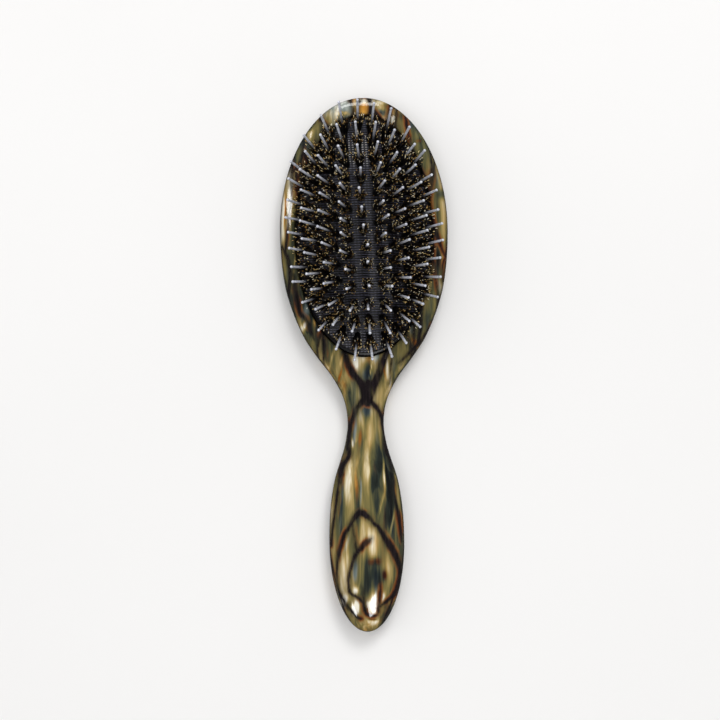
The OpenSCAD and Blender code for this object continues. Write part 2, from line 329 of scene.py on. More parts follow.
# Dark veins laid over the leaves, seen from above: [(x, y, half width)] in mm.
VEINS = [
    # from the cushion's lower corners to the dark middle of the neck
    [
        (-9.2, 6, 0.6), (-8.2, 2.6, 0.9), (-6.6, -1.6, 0.9), (-4, -6, 1.1), (-1.2, -9.6, 1.6),
        (0.6, -13.4, 2.2),
    ],
    [(10.2, 5.4, 0.8), (8.8, 2.6, 1.3), (7, -1, 1.4), (5, -6.4, 1.4), (3, -10.4, 1.9), (1.2, -14, 2.2)],
    [(1, -8.6, 1.2), (1, -12, 2.6), (0.9, -15.6, 2.2), (0.8, -17, 1.0)],
    # shoulders
    [(-17.4, 13, 0.3), (-16.8, 8, 0.6), (-16.6, 3, 0.5), (-17.2, -1, 0.1)],
    [
        (-30.6, 42, 0.1), (-28.6, 31, 0.6), (-26.6, 21, 0.7), (-24.4, 18.4, 0.5), (-22.4, 14, 0.6),
        (-21, 9, 0.2),
    ],
    [(28, 15, 0.4), (24, 9.6, 0.6), (20.4, 6, 0.8), (17, 2, 0.5), (13.8, -0.8, 0.1)],
    [(11.4, 4, 0.1), (11, -2, 0.25), (9.8, -9, 0.1)],
    # the long arch on the grip
    [
        (0.5, -14.5, 1.6), (-2, -17.2, 1.0), (-4, -20.2, 0.9), (-6.4, -26, 0.9), (-7.2, -33.5, 0.8),
        (-7.1, -38.5, 1.0), (-9.7, -43, 0.8), (-10.8, -50, 0.6), (-12.4, -58.7, 0.6), (-13.9, -67, 0.5),
        (-14.6, -75, 0.3),
    ],
    [
        (1, -15, 1.2), (3.2, -17.6, 0.9), (5.5, -20.4, 0.8), (7, -26, 0.8), (8, -33.5, 0.7),
        (9.9, -40, 0.7), (11.2, -45, 0.2),
    ],
    [(11.2, -49, 0.1), (12.0, -58, 0.4), (13.2, -65, 0.6), (14.5, -74, 0.3)],
    # the two arches near the grip's end
    [
        (2.6, -65, 0.2), (0.8, -63.4, 1.0), (-1.6, -62, 1.3), (-3.4, -62, 1.2), (-5.2, -64.2, 1.0),
        (-7, -67.5, 0.8), (-9.4, -71.3, 0.7), (-11.2, -77.7, 0.6), (-12.2, -85.9, 0.6), (-11.7, -92.2, 0.6),
        (-9, -98.5, 0.6), (-4.8, -103.4, 0.5), (-2.4, -104.6, 0.1),
    ],
    [
        (1.4, -64.4, 0.2), (3, -66, 0.7), (5, -68, 0.8), (8.1, -73, 1.0), (11.7, -79.6, 1.1),
        (13.4, -85, 0.8), (12.6, -90.3, 0.8), (10.4, -95.3, 0.7), (5.6, -99.2, 0.3), (4.4, -100, 0.1),
    ],
    [
        (1.6, -72, 0.1), (0.4, -73.2, 0.6), (-1.4, -74.9, 0.8), (-3.7, -77.7, 0.8), (-5.9, -82, 0.7),
        (-7.5, -87, 0.6), (-7.4, -93.4, 0.5), (-5, -95.2, 0.5), (-2.6, -97, 0.5), (-1.4, -99, 0.1),
    ],
    [(-5.2, -65, 0.3), (-4.9, -71, 0.2), (-3.9, -77.5, 0.3)],
    [
        (-1.3, -92, 0.1), (-1.3, -96, 0.3), (-1.3, -100, 0.5), (-0.6, -103, 0.4), (2, -103.4, 0.4),
        (4.4, -102.6, 0.1),
    ],
    [(4.9, -89, 0.1), (4.9, -95, 0.3), (4.7, -101.5, 0.2)],
]
# Soft patches inside the leaves: (x, y, reach across, reach along, slant, tone, warmth). A tone above 1 is a
# painted highlight.
PATCHES = [
    # neck
    (-4.0, -0.4, 1.6, 3.6, 0, 1.0, -0.1), (0, 1.8, 2.6, 2.6, 0, 0.84, 0.35),
    (4.6, 2.0, 1.4, 2.4, 0.3, 0.62, -0.5), (1.2, -5.6, 2.0, 2.6, 0, 0.3, -0.8),
    (2.2, -4, 0.3, 4, 0.2, 0.8, -0.2), (-12, 0, 2.6, 8, 0.35, 0.5, 0.1), (-13.6, 1.5, 0.5, 4, 0.3, 0.8, 0),
    (-9.2, 1.4, 0.6, 3, 0.3, 0.72, 0.4), (-7.6, -9, 1.2, 7, 0.15, 0.6, 0.15),
    (-11.2, -8, 0.5, 5, 0.35, 0.3, 0.7), (9.2, -4, 1.0, 7, -0.1, 0.78, 0.2),
    (11.6, -2, 0.8, 7, -0.15, 0.62, -0.1), (7.2, -2, 0.35, 4, -0.2, 0.45, 0.9),
    (15, 3.4, 1.8, 3.4, -0.4, 0.46, 0), (20.6, 7.4, 1.5, 2.6, -0.6, 0.44, 1.0),
    # left and right shoulders and rims
    (-18.8, 7, 2.0, 4, 0.5, 0.5, 0.15), (-20.4, 16.6, 0.7, 2.4, 0, 0.78, 0.5),
    # (-24.6, 15.4), tone 1.15, is a painted highlight on the left shoulder
    (-24.6, 15.4, 1.1, 2.2, 0.3, 1.15, 0.15), (-23.8, 21.6, 1.4, 3.4, 0.3, 0.66, -0.8),
    (-29.8, 38, 1.8, 8, 0.1, 0.42, -0.35), (-29, 38, 0.25, 7, 0.1, 0.75, 0),
    (-32.6, 47, 1.2, 4, 0, 0.46, 0.15), (31.3, 50, 1.5, 1.3, 0, 0.3, 0.9), (30.2, 40, 1.8, 6, 0, 0.1, 0.3),
    (29.4, 27, 1.6, 4, -0.1, 0.42, 0), (26, 17, 2, 4, -0.3, 0.28, 0), (32.4, 59, 1.8, 8, 0, 0.48, 0.1),
    (32, 69, 1.8, 2, 0, 0.1, -0.3), (27.4, 78, 1.8, 7, -0.15, 0.5, 0.05),
    (30, 76, 1.2, 6, -0.15, 0.36, -0.6), (23.3, 91.3, 1.6, 0.9, 0.6, 0.26, 0.6),
    (23.6, 96, 2.2, 2.2, 0, 0.45, -0.2), (19.4, 98, 1.6, 2, 0, 0.3, -0.8),
    # (-30.4, 66), tone 1.05, is a painted highlight along the left rim, over the reflection of left_box
    (-30.4, 66, 0.8, 11, 0.03, 1.05, 0), (-32.4, 62, 0.45, 6, 0, 0.35, 1.0),
    (-33.2, 62, 0.4, 7, 0, 0.9, 0.1),
    # the head's tip
    # (0.2, 108.2) is partly painted highlight, where top_box's reflection also falls, and partly the
    # acetate's own pale tone
    (0.2, 108.2, 3.4, 1.3, 0, 0.92, -0.1), (0.2, 104.6, 2.3, 1.7, 0, 0.46, 1.1),
    (-7.2, 105.8, 2.5, 2.0, 0, 0.70, -0.8), (-8, 102.7, 2.2, 0.4, 0, 0.8, 0.6),
    (6, 107.6, 2.2, 0.8, 0, 0.78, -0.4), (11.5, 105.6, 2.6, 1.2, 0, 0.3, 0.4),
    (8, 103, 2.4, 1.4, 0, 0.12, -0.6), (16.4, 102, 2, 2, 0, 0.28, 0.2),
    (-14, 99.5, 1.8, 2.4, 0, 0.42, -0.2), (-21.4, 94.3, 1.7, 3, 0.2, 0.5, 0.05),
    (-21.4, 94.3, 0.35, 2.2, 0.2, 0.95, 0.1), (-24, 89.5, 2.2, 2.2, 0, 0.2, -0.3),
    # upper grip
    (0.6, -19.5, 1.6, 3.2, 0, 0.3, -0.8), (-1.8, -25, 0.8, 4.5, -0.1, 0.74, -0.2),
    (2.2, -20, 0.6, 3, 0, 0.6, -0.2), (-2.2, -30.5, 0.8, 4, 0, 0.5, 0.75), (2.2, -30, 1.7, 6, 0, 0.66, 0.4),
    # (-5.4, -33.5), tone 1.15, is a painted highlight on the upper grip, where left_box also shows
    (5, -33, 1.0, 5, -0.1, 0.42, 0), (-5.4, -33.5, 0.45, 1.7, 0, 1.15, 0),
    (-4.4, -29, 0.7, 5, 0.1, 0.55, -0.4), (7.6, -40, 1.4, 4, -0.2, 0.12, -0.2),
    (-8.0, -50, 1.9, 10.5, 0.02, 0.86, -0.2), (-9.8, -55, 0.5, 8, 0.05, 0.5, -0.5),
    (-4.2, -51, 0.7, 8, 0, 0.56, 0.6), (-2.7, -53, 0.4, 6, 0, 0.68, -0.7), (0.6, -50, 1.8, 8, 0, 0.56, 0.2),
    (1.0, -46, 1.2, 3, 0, 0.7, 0.4), (4.4, -50, 2.2, 11.5, 0, 0.04, -0.05),
    (9.9, -51, 2.5, 13, -0.1, 0.04, 0), (7.4, -46, 0.45, 6.5, -0.05, 0.84, 0.05),
    (6.3, -58, 0.4, 5, 0.3, 0.62, 0.1), (12.4, -53, 0.5, 5.5, -0.12, 0.45, 0.9),
    (13.4, -58, 0.7, 9, -0.1, 0.52, 0.1), (11.2, -70, 2.2, 6, -0.1, 0.34, 0),
    (8.8, -64, 1.9, 6, -0.12, 0.1, 0), (10.3, -66, 0.35, 5, 0.14, 0.7, 0.05),
    (-12.8, -58, 0.8, 11, 0.1, 0.42, 0.1), (-10.2, -64, 1.2, 8, 0.1, 0.3, -0.2),
    (-7.6, -62, 1.2, 4, 0.2, 0.58, 0.1),
    # lower grip
    (-9.5, -86, 2.0, 9.5, 0.05, 0.95, 0.25), (-8.4, -75, 0.7, 4, 0.3, 0.74, -0.4),
    (-4.6, -84.5, 1.2, 4.5, 0.1, 0.48, -0.7), (-2.4, -87, 1.0, 5, 0, 0.5, 0.1),
    (-4.6, -93, 1.4, 1.6, 0, 0.9, 0.15), (-1.4, -73.5, 2.0, 5.4, 0, 0.74, 0.3),
    (2.6, -73, 3.0, 6.2, 0, 0.86, 0.2), (-2.0, -69.5, 1.6, 4, 0, 0.66, 0.15),
    (3.2, -81.2, 2.5, 1.4, 0.2, 0.14, 0.8), (2.9, -87.5, 1.9, 5.4, 0, 0.08, -0.3),
    (-0.4, -86, 0.6, 6, 0, 0.34, 0.1), (7.6, -83, 1.8, 3.6, 0, 0.64, 0.1),
    (6.9, -86.5, 0.9, 1.8, 0, 0.1, 0.6), (11.4, -86, 1.0, 5, 0.1, 0.4, 0),
    (9.8, -92, 1.0, 3, 0.2, 0.3, -0.2), (1.8, -98.4, 2.5, 3.6, 0, 0.96, -0.3),
    # (-9.6, -97.2) and (-4.9, -100.2), tones 1.2 and 1.15, are painted highlights at the grip's lower left
    (6.3, -96, 0.6, 2.2, 0.1, 0.98, 0.2), (-9.6, -97.2, 1.3, 2.4, 0.2, 1.2, 0),
    (-4.9, -100.2, 1.6, 2.8, 0.3, 1.15, 0.05), (-7.9, -104, 1.8, 1.6, 0, 0.3, -0.1),
    (1.5, -106, 3.2, 1.8, 0, 0.8, 0.3), (1.8, -104.8, 1.6, 0.6, 0, 0.1, 0.8),
    (9.5, -99.5, 2.4, 3, 0.2, 0.42, 0),
]


FAR = 9.0  # further from a vein than its dark edge reaches
RANDOM_LEAVES, LEAF_SEED = 70, 11
HEAD_HALF_ROUND, GRIP_HALF_ROUND, HEAD_START = 82, 46, 5  # half the way round, and where the head begins


def around(points):
    """Way round the section from the middle of the top (mm, + towards +X), and half the way round."""
    x, y, z = points.T
    w, h, mid = half_width(y), np.maximum(half_thickness(y), 0.1), middle_z(y)
    drop = np.clip(mid + h - z, 0, h)
    u = np.where(z >= mid, np.abs(x) + drop**2 / (2 * h), 2 * w - np.abs(x) + h / 2 + np.maximum(mid - z, 0))
    return np.where(x < 0, -u, u), 2 * w + h / 2 + mid


def waves(u, y, seed, size, amount):
    """A smooth, aimless shift of about amount mm, from a few waves of about size mm."""
    rng = np.random.default_rng(seed)
    out = np.zeros_like(u)
    for _ in range(7):
        a, k, ph = rng.uniform(0, 2 * math.pi), rng.uniform(0.5, 1.6) / size, rng.uniform(0, 2 * math.pi)
        out += np.sin(2 * math.pi * k * (u * math.cos(a) + y * math.sin(a) * 0.45) + ph)
    return out * amount / 2.6


def leaf_distance(u, y, period, leaf):
    """Signed distance from a leaf's edge, negative inside."""
    u0, y0, u1, y1, wide, peak, _, _ = leaf
    t = (y0 - y) / (y0 - y1)
    tc = np.clip(t, 0, 1)
    k = math.log(0.5) / math.log(peak)

    def half(s):
        return wide * np.sin(math.pi * np.clip(s, 1e-6, 1 - 1e-6) ** k) ** 0.85

    du = u - (u0 + (u1 - u0) * tc)
    du = (du + period) % (2 * period) - period
    slope = (half(tc + 0.004) - half(tc - 0.004)) / (0.008 * (y0 - y1))
    side = (np.abs(du) - half(tc)) / np.sqrt(1 + slope**2)
    past = np.maximum(y - y0, y1 - y)
    return np.where((t > 0) & (t < 1), side, np.hypot(du, np.maximum(past, 0)))


def smooth_line(points, steps=7):
    """A smooth line through points (Catmull-Rom), as an array with the same columns."""
    p = np.array(points, float)
    p = np.vstack([2 * p[0] - p[1], p, 2 * p[-1] - p[-2]])
    t = np.linspace(0, 1, steps, endpoint=False)[:, None]
    out = []
    for a, b, c, d in zip(p, p[1:], p[2:], p[3:]):
        square, cube = 2 * a - 5 * b + 4 * c - d, 3 * b - a - 3 * c + d
        out.append(0.5 * (2 * b + (c - a) * t + square * t**2 + cube * t**3))
    return np.vstack(out + [p[-2][None]])


def vein_distance(x, y, points):
    """Distance from a vein's edge, negative inside it, or FAR where the vein isn't near."""
    line = smooth_line(points)
    best = np.full(len(x), FAR)
    for a, b in zip(line, line[1:]):
        near = np.nonzero(np.hypot(x - (a[0] + b[0]) / 2, y - (a[1] + b[1]) / 2) < 8)[0]
        d = b[:2] - a[:2]
        t = np.clip(((x[near] - a[0]) * d[0] + (y[near] - a[1]) * d[1]) / max(d @ d, 1e-9), 0, 1)
        away = np.hypot(x[near] - a[0] - t * d[0], y[near] - a[1] - t * d[1]) - (a[2] + (b[2] - a[2]) * t)
        best[near] = np.minimum(best[near], away)
    return best


def random_leaves(rng):
    """Leaves under the placed ones. They show on the back and the sides."""
    leaves = []
    for _ in range(RANDOM_LEAVES):
        length = rng.uniform(45, 95)
        top, place = rng.uniform(-70, 140), rng.uniform(-1, 1)
        at = place * (HEAD_HALF_ROUND if top > HEAD_START else GRIP_HALF_ROUND)
        foot_at, wide, peak = at + rng.uniform(-6, 6), rng.uniform(5.5, 10), rng.uniform(0.35, 0.6)
        tone, warmth = rng.choice([0.08, 0.25, 0.4, 0.48, 0.55, 0.66]), rng.choice([-0.5, 0, 0, 0.35])
        leaves.append((at, top, foot_at, top - length, wide, peak, tone, warmth))
    return leaves


def paint_body(obj):
    """Writes the pattern on the body's points: distance from the nearest dark line, and the colours."""
    points = points_of(obj)
    u, period = around(points)
    x, y, z = points.T
    rng = np.random.default_rng(LEAF_SEED)
    place = x + 1.5 * (z - HEAD_THICK)  # runs on without a break from the top to the back
    wu = u + waves(place, y, 3, 17, 0.8)
    wy = y + waves(place, y, 4, 26, 1.6)
    edge = np.full(len(u), FAR)
    tone, warmth, shift = np.full(len(u), 0.4), np.zeros(len(u)), np.zeros(len(u))
    for leaf in random_leaves(rng) + LEAVES:
        sd = leaf_distance(wu, wy, period, leaf)
        inside = sd < 0
        edge = np.where(inside, -sd, np.minimum(edge, sd))
        tone = np.where(inside, leaf[6], tone)
        warmth = np.where(inside, leaf[7], warmth)
        shift = np.where(inside, rng.uniform(0, 9), shift)
    # A dark line along the leaves' edges, of uneven width
    edge = edge - np.clip(0.55 + waves(place, y, 5, 14, 0.35), 0.05, 1.2)
    upper = smoothstep(-2.0, 0.5, z - middle_z(y))
    sx, sy = x + waves(place, y, 6, 9, 0.25), y + waves(place, y, 7, 12, 0.35)
    for vein in VEINS:
        edge = np.minimum(edge, vein_distance(sx, sy, vein) + (1 - upper) * FAR)
    for px, py, across_by, along_by, slant, level, warm in PATCHES:
        dx, dy = (sx - px - slant * (sy - py)) / across_by, (sy - py) / along_by
        near = np.exp(-((dx**2 + dy**2) ** 1.2) / 1.3) * upper
        tone = tone + (level - tone) * near
        warmth = warmth + (warm - warmth) * near
    tone = 0.5 + (tone - 0.48) * 1.22  # a little more contrast
    side = np.abs(x) / np.maximum(half_width(y), 0.5)
    # rim: a thin band up the side walls, where the acetate is painted darker as a painted dark reflection
    rim = smoothstep(0.955, 0.998, side) * (z > 0.5) * (z < middle_z(y) + 0.75 * half_thickness(y))
    for name, values in (("edge", edge), ("tone", tone), ("warmth", warmth), ("shift", shift), ("rim", rim)):
        set_attribute(obj, name, values)


# ---------------------------------------------------------------- material helpers


class Nodes:
    """A material's nodes, made and joined with short calls."""

    def __init__(self, name):
        self.material = bpy.data.materials.new(name)
        self.material.use_nodes = True
        self.tree = self.material.node_tree
        self.shader = self.tree.nodes["Principled BSDF"]

    def add(self, kind, **settings):
        node = self.tree.nodes.new(kind)
        for key, value in settings.items():
            setattr(node, key, value)
        return node

    def link(self, a, b):
        self.tree.links.new(a, b)

    def place(self, scale, shift=None):
        """Object coordinates in mm times scale, with the shift socket added along X."""
        coords = self.add("ShaderNodeTexCoord")
        mapping = self.add("ShaderNodeMapping")
        mapping.inputs["Scale"].default_value = [s / MM for s in scale]
        self.link(coords.outputs["Object"], mapping.inputs["Vector"])
        if shift is None:
            return mapping.outputs["Vector"]
        both = self.add("ShaderNodeVectorMath", operation="ADD")
        self.link(mapping.outputs["Vector"], both.inputs[0])
        self.link(shift, both.inputs[1])
        return both.outputs["Vector"]

    def noise(self, vector, scale=1.0, detail=3.0, rough=0.5, distort=0.0):
        node = self.add("ShaderNodeTexNoise")
        node.inputs["Scale"].default_value = scale
        node.inputs["Detail"].default_value = detail
        node.inputs["Roughness"].default_value = rough
        node.inputs["Distortion"].default_value = distort
        self.link(vector, node.inputs["Vector"])
        return node.outputs["Fac"]

    def attribute(self, name):
        return self.add("ShaderNodeAttribute", attribute_name=name).outputs["Fac"]

    def math(self, operation, a, b=None, c=None):
        node = self.add("ShaderNodeMath", operation=operation)
        for i, v in enumerate((a, b, c)):
            if v is None:
                continue
            if isinstance(v, (int, float)):
                node.inputs[i].default_value = v
            else:
                self.link(v, node.inputs[i])
        return node.outputs[0]

    def ranged(self, value, low, high, out_low=0.0, out_high=1.0):
        node = self.add("ShaderNodeMapRange", interpolation_type="SMOOTHSTEP")
        self.link(value, node.inputs["Value"])
        for key, v in (("From Min", low), ("From Max", high), ("To Min", out_low), ("To Max", out_high)):
            node.inputs[key].default_value = v
        return node.outputs["Result"]

    def ramp(self, value, stops):
        node = self.add("ShaderNodeValToRGB")
        points = node.color_ramp.elements
        while len(points) < len(stops):
            points.new(0.5)
        for point, (place, colour) in zip(points, stops):
            point.position = place
            point.color = colour
        self.link(value, node.inputs["Fac"])
        return node.outputs["Color"]

    def mix(self, fac, a, b):
        node = self.add("ShaderNodeMix", data_type="RGBA")
        if isinstance(fac, (int, float)):
            node.inputs["Factor"].default_value = fac
        else:
            self.link(fac, node.inputs["Factor"])
        for key, v in ((6, a), (7, b)):
            if isinstance(v, tuple):
                node.inputs[key].default_value = v
            else:
                self.link(v, node.inputs[key])
        return node.outputs[2]

    def bump(self, height, strength, distance):
        node = self.add("ShaderNodeBump")
        node.inputs["Strength"].default_value = strength
        node.inputs["Distance"].default_value = distance * MM
        self.link(height, node.inputs["Height"])
        self.link(node.outputs["Normal"], self.shader.inputs["Normal"])

    def set(self, **values):
        for key, v in values.items():
            socket = self.shader.inputs[key.replace("_", " ")]
            if isinstance(v, (int, float, tuple)):
                socket.default_value = v
            else:
                self.link(v, socket)


def acetate_material():
    m = Nodes("horn_acetate")
    shift = m.attribute("shift")
    broad = m.noise(m.place((0.13, 0.02, 0.13), shift), 1.0, 2.0, 0.5, 0.6)
    streak = m.noise(m.place((0.36, 0.03, 0.34), shift), 1.0, 3.0, 0.5, 0.5)
    fine = m.noise(m.place((1.5, 0.07, 1.4), shift), 1.0, 2.0, 0.5, 0.3)
    level = m.math("MULTIPLY_ADD", m.math("SUBTRACT", broad, 0.5), 0.75, m.attribute("tone"))
    level = m.math("MULTIPLY_ADD", m.math("SUBTRACT", streak, 0.5), 1.05, level)
    level = m.math("MULTIPLY_ADD", m.math("SUBTRACT", fine, 0.5), 0.16, level)
    # Thin sheets lie over each other with crisp edges
    sheet = m.noise(m.place((0.26, 0.016, 0.26), m.math("ADD", shift, 1.4)), 1.0, 0.0, 0.5, 0.2)
    level = m.math("MULTIPLY_ADD", m.math("SUBTRACT", m.ranged(sheet, 0.49, 0.52), 0.5), 0.11, level)
    olive = m.ramp(level, [
        (0.0, linear(20, 22, 22)), (0.2, linear(46, 52, 46)), (0.38, linear(92, 90, 59)),
        (0.54, linear(131, 118, 70)), (0.70, linear(174, 152, 99)), (0.86, linear(218, 202, 163)),
        (1.0, linear(246, 240, 222)),
    ])
    cool = m.ramp(level, [
        (0.0, linear(18, 22, 28)), (0.3, linear(52, 64, 70)), (0.5, linear(94, 108, 110)),
        (0.75, linear(156, 166, 162)), (1.0, linear(236, 238, 232)),
    ])
    amber = m.ramp(level, [
        (0.05, linear(62, 27, 14)), (0.45, linear(164, 94, 22)), (0.8, linear(220, 162, 70)),
        (1.0, linear(244, 208, 142)),
    ])
    drift = m.noise(m.place((0.3, 0.025, 0.3), m.math("ADD", shift, 4.3)), 1.0, 2.0, 0.5, 0.4)
    warmth = m.math("MULTIPLY_ADD", m.math("SUBTRACT", drift, 0.5), 1.5, m.attribute("warmth"))
    base = m.mix(m.ranged(warmth, -0.05, -0.7, 0, 0.9), olive, cool)
    base = m.mix(m.ranged(warmth, 0.1, 0.95), base, amber)
    wobble = m.noise(m.place((0.9, 0.25, 0.9)), 1.0, 3.0, 0.6, 0.0)
    edge = m.math("MULTIPLY_ADD", m.math("SUBTRACT", wobble, 0.5), 1.1, m.attribute("edge"))
    patchy = m.noise(m.place((0.12, 0.06, 0.12)), 1.0, 2.0, 0.5, 0.0)
    faded = m.noise(m.place((0.2, 0.09, 0.2), m.math("ADD", shift, 2.7)), 1.0, 2.0, 0.5, 0.0)
    glow = m.math("MULTIPLY", m.ranged(edge, 1.5, 0.2), m.ranged(patchy, 0.46, 0.62, 0, 0.9))
    base = m.mix(glow, base, m.ramp(edge, [
        (0.0, linear(84, 28, 12)), (0.4, linear(150, 74, 24)), (1.0, linear(190, 126, 56)),
    ]))
    base = m.mix(m.ranged(edge, 2.2, 0.0, 0.0, 0.5), base, linear(40, 40, 34))
    dark = m.math("MULTIPLY", m.ranged(edge, 0.6, -0.5), m.ranged(faded, 0.3, 0.5, 0.6, 1.0))
    base = m.mix(dark, base, m.ramp(fine, [(0.3, linear(14, 11, 13)), (0.7, linear(36, 29, 31))]))
    # Painted dark reflection: the colour is darkened along the thin band up the side walls
    base = m.mix(m.math("MULTIPLY", m.attribute("rim"), 0.75), base, linear(22, 20, 20))
    m.set(Base_Color=base, Specular_IOR_Level=0.5, IOR=1.45)
    m.set(Roughness=m.ranged(fine, 0.3, 0.7, 0.04, 0.09))
    m.bump(m.noise(m.place((0.09, 0.05, 0.09)), 1.0, 2.0, 0.4, 0.0), 0.08, 0.5)
    return m.material


def rubber_material():
    m = Nodes("cushion_rubber")
    grain = m.noise(m.place((3.5, 3.5, 3.5)), 1.0, 4.0, 0.6, 0.0)
    cloud = m.noise(m.place((0.08, 0.05, 0.08)), 1.0, 3.0, 0.5, 0.0)
    # The crests are painted much lighter than the grooves: painted light on the rib tops and painted shade in
    # the grooves
    groove = m.mix(m.ranged(cloud, 0.35, 0.65), linear(9, 8, 11), linear(16, 15, 19))
    crest = m.mix(m.ranged(cloud, 0.35, 0.65), linear(82, 82, 100), linear(100, 101, 122))
    rubber = m.mix(m.ranged(m.attribute("crest"), 0.3, 1.0), groove, crest)
    # Crest values from 1.1 up turn the rubber near-white: painted glints on the beads
    m.set(Base_Color=m.mix(m.ranged(m.attribute("crest"), 1.1, 2.4), rubber, linear(214, 210, 196)))
    m.set(Roughness=m.ranged(grain, 0.3, 0.7, 0.34, 0.5), Specular_IOR_Level=0.4)
    m.bump(grain, 0.35, 0.08)
    return m.material


def nylon_material():
    m = Nodes("clear_nylon")
    along = m.attribute("along")
    cloud = m.noise(m.place((1.6, 1.6, 0.5)), 1.0, 3.0, 0.5, 0.0)
    body = m.mix(m.ranged(cloud, 0.3, 0.7), linear(174, 177, 188), linear(222, 225, 235))
    # The pins are painted darker towards their foot: painted shade where they stand among the bristles
    m.set(Base_Color=m.mix(m.ranged(along, 0.35, 0.9), linear(70, 70, 76), body))
    m.set(Roughness=m.ranged(cloud, 0.3, 0.7, 0.14, 0.26), Specular_IOR_Level=0.6, IOR=1.53)
    m.bump(cloud, 0.2, 0.05)
    return m.material


def bristle_material():
    m = Nodes("natural_bristle")
    along, tint = m.attribute("along"), m.attribute("tint")
    streak = m.noise(m.place((6, 6, 0.8)), 1.0, 2.0, 0.5, 0.0)
    shaft = m.mix(m.ranged(streak, 0.3, 0.7), linear(5, 4, 5), linear(18, 13, 12))
    tip = m.ramp(tint, [
        (0.0, linear(14, 10, 9)), (0.68, linear(44, 30, 20)), (0.76, linear(186, 136, 64)),
        (0.87, linear(250, 222, 150)), (1.0, linear(255, 252, 236)),
    ])
    m.set(Base_Color=m.mix(m.ranged(along, 0.9, 0.95), shaft, tip))
    m.set(Roughness=m.ranged(streak, 0.3, 0.7, 0.36, 0.55), Specular_IOR_Level=0.3)
    m.bump(streak, 0.3, 0.05)
    return m.material


def moulded_material(name, dark, light, rough):
    m = Nodes(name)
    grain = m.noise(m.place((2.2, 2.2, 2.2)), 1.0, 4.0, 0.6, 0.0)
    cloud = m.noise(m.place((0.25, 0.25, 0.25)), 1.0, 2.0, 0.5, 0.0)
    m.set(Base_Color=m.mix(m.ranged(cloud, 0.35, 0.65), dark, light))
    m.set(Roughness=m.ranged(grain, 0.3, 0.7, rough, rough + 0.15))
    m.bump(grain, 0.3, 0.08)
    return m.material


# ---------------------------------------------------------------- tufts, placed from the CAD's pins


def pins_of_row(row):
    """[(root on the rubber, unit direction)] of a row's pins in mm, read from the CAD node's mesh."""
    bm = bmesh.new()
    bm.from_mesh(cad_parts[f"pins_row_{row}"].data)
    bmesh.ops.remove_doubles(bm, verts=bm.verts, dist=1e-6)
    left, found = set(bm.verts), []
    while left:
        stack, island = [left.pop()], []
        while stack:
            v = stack.pop()
            island.append(v.co[:])
            for e in v.link_edges:
                w = e.other_vert(v)
                if w in left:
                    left.remove(w)
                    stack.append(w)
        co = np.array(island) / MM
        axis = np.linalg.svd(co - co.mean(0), full_matrices=False)[2][0]
        axis = axis * np.sign(axis[2])
        middle = (co.min(0) + co.max(0)) / 2
        reach = (co - middle) @ axis
        line = co[reach < reach.min() + 1.0].mean(0)  # a point on the pin's own axis, at its foot
        tip = line + axis * ((co - line) @ axis).max()
        found.append((tip - axis * PIN_LENGTH, axis))
    bm.free()
    return sorted(found, key=lambda f: f[0][1])


def across(axis):
    """Two unit vectors square to axis."""
    a = np.cross(axis, [0.0, 1.0, 0.0])
    a /= np.linalg.norm(a)
    return a, np.cross(axis, a)


def lathe_row(name, tufts, profile, sides):
    """The same turned shape at each tuft. profile is [(radius, height)] in mm, from foot to tip."""
    verts, faces, along = [], [], []
    turn = np.arange(sides) * 2 * math.pi / sides
    radii, heights = np.array(profile).T
    for root, axis in tufts:
        a, b = across(axis)
        ring = np.cos(turn)[:, None] * a + np.sin(turn)[:, None] * b
        start = sum(len(v) for v in verts)
        centres = root + heights[:, None, None] * axis
        verts.append((centres + radii[:, None, None] * ring[None]).reshape(-1, 3))
        faces += grid_faces(len(profile), sides, start, closed=True)
        along += list(np.repeat(np.clip(heights / PIN_LENGTH, 0, 1), sides))
    obj = make_mesh(name, np.concatenate(verts), faces)
    set_attribute(obj, "along", along)
    bm = bmesh.new()
    bm.from_mesh(obj.data)
    bmesh.ops.remove_doubles(bm, verts=bm.verts, dist=2e-6)
    bmesh.ops.recalc_face_normals(bm, faces=bm.faces)
    bm.to_mesh(obj.data)
    bm.free()
    obj.data.shade_smooth()
    return obj


def pin_profile():
    """A slightly tapered pin with a ball tip, from the flange up."""
    foot = -FLANGE_DEPTH
    shaft = [(0.0, foot), (PIN_R, foot), (PIN_R, 0), (PIN_R, 6), (0.49, 12), (0.48, 17.0), (0.48, 17.6)]
    ball = []
    for a in np.linspace(1.02, math.pi, 9):
        ball.append((TIP_R * math.sin(a), PIN_LENGTH - TIP_R - TIP_R * math.cos(a)))
    return shaft + ball


def plug_profile():
    """A plug: the floor of its bore, the stem through the rubber and the flange under it."""
    d = -FLANGE_DEPTH
    bore = PIN_R + 0.03
    stem = [(0.0, d - 0.02), (bore, d - 0.02), (bore, 0.3), (0.82, 0.34), (0.9, 0.24), (0.9, d)]
    return stem + [(1.42, d), (1.5, d - 0.08), (1.5, d - 0.72), (1.42, d - 0.8), (0.0, d - 0.8)]


PIN_SIDES, PLUG_SIDES, HAIR_SIDES = 12, 20, 3
HAIRS = 116  # round each pin
HAIR_STEPS = np.array([0, 0.35, 0.68, 0.93, 1.0])  # share of a hair's length
HAIR_TAPER = np.array([1.0, 1.0, 0.95, 0.95, 0.75])  # its thickness there
HAIR_ROOT = 0.3  # the hairs begin this far inside the rubber
PALE = 0.7  # hairs with a tint above this have pale tips, and are thicker


